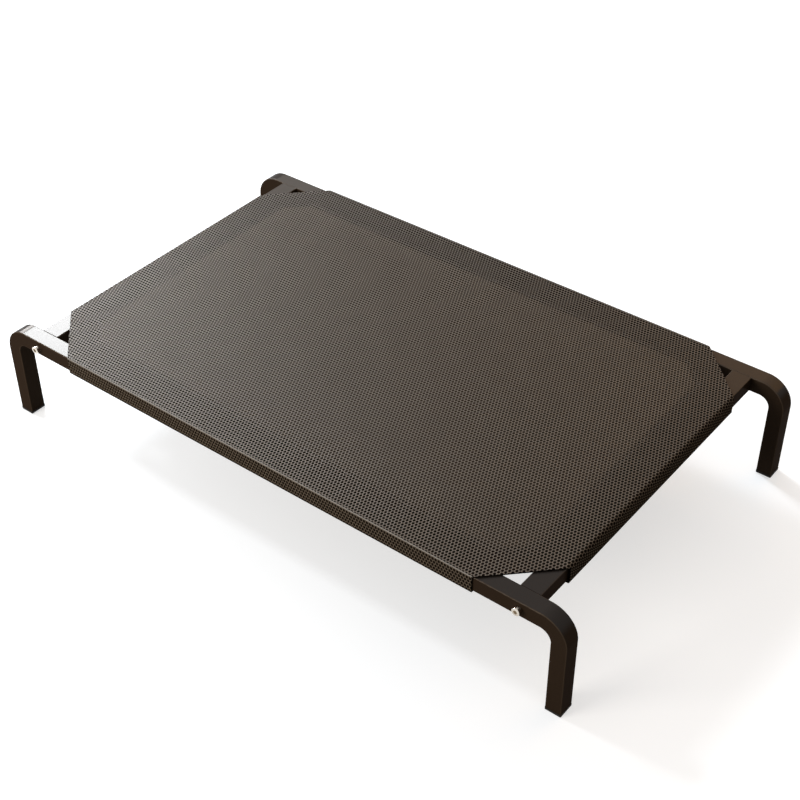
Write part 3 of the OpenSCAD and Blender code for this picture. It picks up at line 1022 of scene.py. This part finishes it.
class COT_OT_sleeves(bpy.types.Operator):
    """Fold the four sleeves round the rails and cross bars, back to the panel's underside"""
    bl_idname = "cot.sleeves"
    bl_label = "Sleeves"

    def folded(self, axis, path, start, fold, half):
        """A sleeve on the cot's + side, whose flat cut runs out along an axis and is folded on a path."""
        size = sizes()
        stop = start + path.length
        folds = [start + place for place in path.breaks(1)]

        def flat(along, out):
            return Vector((along, out, 0.0) if axis == 1 else (out, along, 0.0))

        low, high = flat(-half - fold, start), flat(half + fold, stop)
        bm = bmesh.new()
        weave_net(bm, low, high)
        clear_band(bm, axis, folds[2], folds[3])
        if axis == 1:
            clear_band(bm, axis, start - size.weave_row, folds[1])
            plain_grid(bm, low, flat(half + fold, folds[1]), 0.0, FLAP_CELL, FOLD)
        # Under the net, a dark sheet of painted shade that shows through the holes.
        plain_grid(bm, low, high, -size.shade_sheet_depth, FLAP_CELL, SHADE_SHEET)
        plain_grid(bm, flat(-half, folds[2]), flat(half, folds[3]), 0.0, FLAP_CELL, LOW_FOLD)
        cut_along(bm, low, flat(0.0, -1.0))
        cut_along(bm, high, flat(0.0, 1.0))
        for sign in (-1, 1):
            cut_along(bm, flat(sign * half, start), flat(sign, 0.0), clear=False)
            cut_along(bm, flat(sign * half, start + fold), flat(sign, 1.0), clear=False)
        middles = {face: face.calc_center_median() for face in bm.faces}
        beyond = [face for face, middle in middles.items()
                  if abs(middle[1 - axis]) > half + max(start + fold - middle[axis], 0.0)]
        bmesh.ops.delete(bm, geom=beyond, context="FACES")
        for sign in (-1, 1):
            edge = [flat(sign * (half + fold), start), flat(sign * half, start + fold),
                    flat(sign * half, stop)]
            if (sign > 0) == (axis == 1):
                edge.reverse()
            for near, far in zip(edge, edge[1:]):
                hem_bar(bm, near.xy, far.xy, size.hem_depth)
        for place in path.breaks(FOLD_STEPS):
            cut_along(bm, flat(0.0, start + place), flat(0.0, 1.0), clear=False)
        mark_cut(bm)
        for vert in bm.verts:
            point, normal = path.at(min(max(vert.co[axis] - start, 0.0), path.length))
            spot = point + normal * vert.co.z
            vert.co = flat(vert.co[1 - axis], spot.x) + Vector((0.0, 0.0, spot.y))
        return bm

    def execute(self, context):
        size = sizes()
        seam = PANEL_LOW.z - CLOTH
        stand_off = SIDE_SLEEVE_HIGH.y - RAIL_HIGH.y
        along_rails = (1, SIDE_SLEEVE_LOW, SIDE_SLEEVE_HIGH, RAIL_LOW.y, size.side_fold)
        along_bars = (0, END_SLEEVE_LOW, END_SLEEVE_HIGH, BAR_LOW.x, size.end_fold)
        runs = [("rear", "rear_rail", along_rails, 0.0),
                ("front", "front_rail", along_rails, math.pi),
                ("right", "right_cross_bar", along_bars, 0.0),
                ("left", "left_cross_bar", along_bars, math.pi)]
        for name, tube, (axis, low, high, tube_inner, fold), turn in runs:
            edge, half = high[axis], high[1 - axis]
            corners = [(edge - fold, PANEL_HIGH.z), (edge, PANEL_HIGH.z), (edge, low.z),
                       (tube_inner - stand_off, low.z), (edge - size.flap_depth + size.seam_width, seam),
                       (edge - size.flap_depth, seam)]
            path = FoldedPath(corners, [fold, size.low_fold, size.low_fold, size.low_fold])
            bm = self.folded(axis, path, edge - fold, fold, half)
            bmesh.ops.rotate(bm, verts=bm.verts[:], matrix=Matrix.Rotation(turn, 3, "Z"))
            finishes = [flap_net_material(), flap_shade_sheet_material(), hem_shade_material(), low_fold_shade_material()]
            if axis == 1:
                finishes.append(fold_and_highlight_material())
            piece = finished(f"{name}_sleeve_cloth", bm, *finishes)
            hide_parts(f"{name}_sleeve")
        return {"FINISHED"}


class COT_OT_corner_flaps(bpy.types.Operator):
    """Turn the cloth under at the four cut corners"""
    bl_idname = "cot.corner_flaps"
    bl_label = "Corner flaps"

    def execute(self, context):
        size = sizes()
        for end, side in CORNERS:
            place = corner_name(end, side)
            low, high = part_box(f"{place}_corner_flap")
            normal = corner_normal(end, side)
            bm = bmesh.new()
            weave_net(bm, low.xy, high.xy)
            # Under the net, a dark sheet of painted shade that shows through the holes.
            plain_grid(bm, low.xy, high.xy, -size.shade_sheet_depth, FLAP_CELL, SHADE_SHEET)
            cut_rectangle(bm, low, high)
            cut_along(bm, normal * (corner_reach() - size.hem_width), normal)
            cut_along(bm, normal * (corner_reach() - size.corner_flap_width), -normal)
            mark_cut(bm)
            for vert in bm.verts:
                vert.co.z = low.z - vert.co.z
            bmesh.ops.reverse_faces(bm, faces=bm.faces[:])
            piece = finished(f"{place}_corner_flap_cloth", bm, flap_net_material(), flap_shade_sheet_material())
            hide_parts(f"{place}_corner_flap")
            inner = corner_sum() - size.corner_flap_width / SLANT - abs(low.x if end > 0 else high.x)
            inner -= abs(low.y if side > 0 else high.y)
        return {"FINISHED"}


class COT_OT_stitching(bpy.types.Operator):
    """Sew the flaps to the panel with one row of stitches, seen from above and below"""
    bl_idname = "cot.stitching"
    bl_label = "Stitching"

    def execute(self, context):
        size = sizes()
        half_seam = size.seam_width / 2.0
        reach_x = PANEL_HIGH.x - size.flap_depth + half_seam
        reach_y = PANEL_HIGH.y - size.flap_depth + half_seam
        total = corner_sum() - (size.corner_flap_width - half_seam) / SLANT
        corners = [(reach_x, total - reach_x), (total - reach_y, reach_y)]
        outline = []
        for end, side in ((RIGHT, REAR), (LEFT, REAR), (LEFT, FRONT), (RIGHT, FRONT)):
            pair = corners if end == side else corners[::-1]
            outline += [Vector((end * x, side * y)) for x, y in pair]
        half_stitch = (size.stitch_length / 2.0, size.thread_width / 2.0, size.thread_width / 3.0, 1.0)
        shape = Matrix.Diagonal(half_stitch)
        bm = bmesh.new()
        for start, stop in zip(outline, outline[1:] + outline[:1]):
            run = stop - start
            count = int(run.length / size.stitch_pitch)
            turn = Matrix.Rotation(math.atan2(run.y, run.x), 4, "Z")
            for i in range(count):
                spot = start + run * ((i + 0.5) / count)
                for height in (PANEL_HIGH.z - panel_dip(*spot), PANEL_LOW.z - CLOTH):
                    bmesh.ops.create_icosphere(bm, subdivisions=1, radius=1.0,
                                               matrix=Matrix.Translation((*spot, height)) @ turn @ shape)
        piece = finished("seam_stitches", bm, thread_material())
        return {"FINISHED"}


class COT_OT_stage(bpy.types.Operator):
    """Set the floor, the soft studio light and the camera"""
    bl_idname = "cot.stage"
    bl_label = "Stage"

    def seen(self, shading):
        """1 for rays that show the background itself, or its image in metal."""
        rays = shading.node("ShaderNodeLightPath").outputs
        mirrored = shading.math("MAXIMUM", rays["Is Glossy Ray"], rays["Is Transmission Ray"])
        return shading.math("MAXIMUM", rays["Is Camera Ray"], mirrored)

    def floor(self):
        """A plain pale floor that keeps the cot's shadow, and goes over into the background far from it."""
        bm = bmesh.new()
        bmesh.ops.create_grid(bm, x_segments=1, y_segments=1, size=FLOOR_HALF)
        mesh = bpy.data.meshes.new("floor")
        bm.to_mesh(mesh)
        bm.free()
        material, shading, shader = new_material("plain floor")
        seen = self.seen(shading)
        reach = shading.node("ShaderNodeVectorMath", operation="LENGTH")
        shading.join(shading.object_place(), reach.inputs[0])
        far = shading.remap(reach.outputs["Value"], FLOOR_FADE_START, FLOOR_FADE_END)
        shade = shading.mix(far, rgba(colours().floor), BLACK)
        glow = shading.remap(far, 0.0, 1.0, FLOOR_GLOW, 1.0)
        shading.fill(shader,
                     Base_Color=shading.mix(seen, rgba(colours().floor_bounce), shade),
                     Emission_Strength=shading.math("MULTIPLY", seen, glow),
                     Emission_Color=WHITE,
                     Roughness=0.9,
                     Specular_IOR_Level=0.0)
        mesh.materials.append(material)
        floor = bpy.data.objects.new("floor", mesh)
        bpy.context.scene.collection.objects.link(floor)

    def world(self):
        """White to look at, with light that comes more from the back left."""
        world = bpy.data.worlds.new("studio")
        bpy.context.scene.world = world
        world.use_nodes = True
        shading = Shading(world.node_tree)
        shading.tree.nodes.clear()
        facing = shading.node("ShaderNodeVectorMath", operation="DOT_PRODUCT")
        shading.join(shading.node("ShaderNodeTexCoord").outputs["Generated"], facing.inputs[0])
        facing.inputs[1].default_value = SKY_SIDE
        level = shading.remap(facing.outputs["Value"], SKY_DIM_FACING, SKY_LIT_FACING)
        light = shading.mix(level, SKY_DIM, SKY_LIT)
        shade = shading.mix(self.seen(shading), light, WHITE)
        background = shading.node("ShaderNodeBackground")
        shading.join(shade, background.inputs["Color"])
        output = shading.node("ShaderNodeOutputWorld")
        shading.join(background.outputs["Background"], output.inputs["Surface"])

    def lamp(self, name, place, target, width, height, watts, tint):
        """A soft rectangular lamp that faces a point."""
        data = bpy.data.lights.new(name, "AREA")
        data.shape = "RECTANGLE"
        data.size, data.size_y = width, height
        data.energy = watts
        data.color = tint
        lamp = bpy.data.objects.new(name, data)
        lamp.location = place
        lamp.rotation_euler = (Vector(target) - Vector(place)).to_track_quat("-Z", "Y").to_euler()
        bpy.context.scene.collection.objects.link(lamp)

    def camera(self):
        """The camera at the viewing angle of the photograph."""
        level = math.cos(CAMERA_ELEVATION)
        back = Vector((math.sin(CAMERA_AZIMUTH) * level, -math.cos(CAMERA_AZIMUTH) * level,
                       math.sin(CAMERA_ELEVATION)))
        right = Vector((0.0, 0.0, 1.0)).cross(back).normalized()
        up = back.cross(right)
        turned_right = math.cos(CAMERA_ROLL) * right + math.sin(CAMERA_ROLL) * up
        turned_up = math.cos(CAMERA_ROLL) * up - math.sin(CAMERA_ROLL) * right
        data = bpy.data.cameras.new("camera")
        data.sensor_width = CAMERA_SENSOR
        data.lens = CAMERA_LENS
        camera = bpy.data.objects.new("camera", data)
        basis = Matrix((turned_right, turned_up, back)).transposed().to_4x4()
        camera.matrix_world = Matrix.Translation(CAMERA_PLACE) @ basis
        bpy.context.scene.collection.objects.link(camera)
        bpy.context.scene.camera = camera

    def execute(self, context):
        self.floor()
        self.world()
        for lamp in LAMPS:
            self.lamp(*lamp)
        self.camera()
        context.scene.view_settings.view_transform = "Standard"
        return {"FINISHED"}


class COT_PT_sidebar(bpy.types.Panel):
    """Lists the cot's pieces"""
    bl_idname = "COT_PT_sidebar"
    bl_label = "Raised dog cot"
    bl_space_type = "VIEW_3D"
    bl_region_type = "UI"
    bl_category = "Dog cot"

    def draw(self, context):
        for operator in OPERATORS:
            self.layout.operator(operator.bl_idname)
        for group in (context.scene.cot_sizes, context.scene.cot_colours):
            column = self.layout.column()
            for name in group.bl_rna.properties.keys():
                if name not in ("rna_type", "name"):
                    column.prop(group, name)


OPERATORS = (COT_OT_rails, COT_OT_cross_bars, COT_OT_bolts, COT_OT_feet, COT_OT_panel, COT_OT_sleeves,
             COT_OT_corner_flaps, COT_OT_stitching, COT_OT_stage)
CLASSES = (CotSizes, CotColours, *OPERATORS, COT_PT_sidebar)


def register():
    for cls in CLASSES:
        bpy.utils.register_class(cls)
    bpy.types.Scene.cot_sizes = PointerProperty(type=CotSizes)
    bpy.types.Scene.cot_colours = PointerProperty(type=CotColours)


def unregister():
    del bpy.types.Scene.cot_colours
    del bpy.types.Scene.cot_sizes
    for cls in reversed(CLASSES):
        bpy.utils.unregister_class(cls)


def main():
    register()
    for operator in OPERATORS:
        group, name = operator.bl_idname.split(".")
        getattr(getattr(bpy.ops, group), name)()


if __name__ == "__main__":
    main()
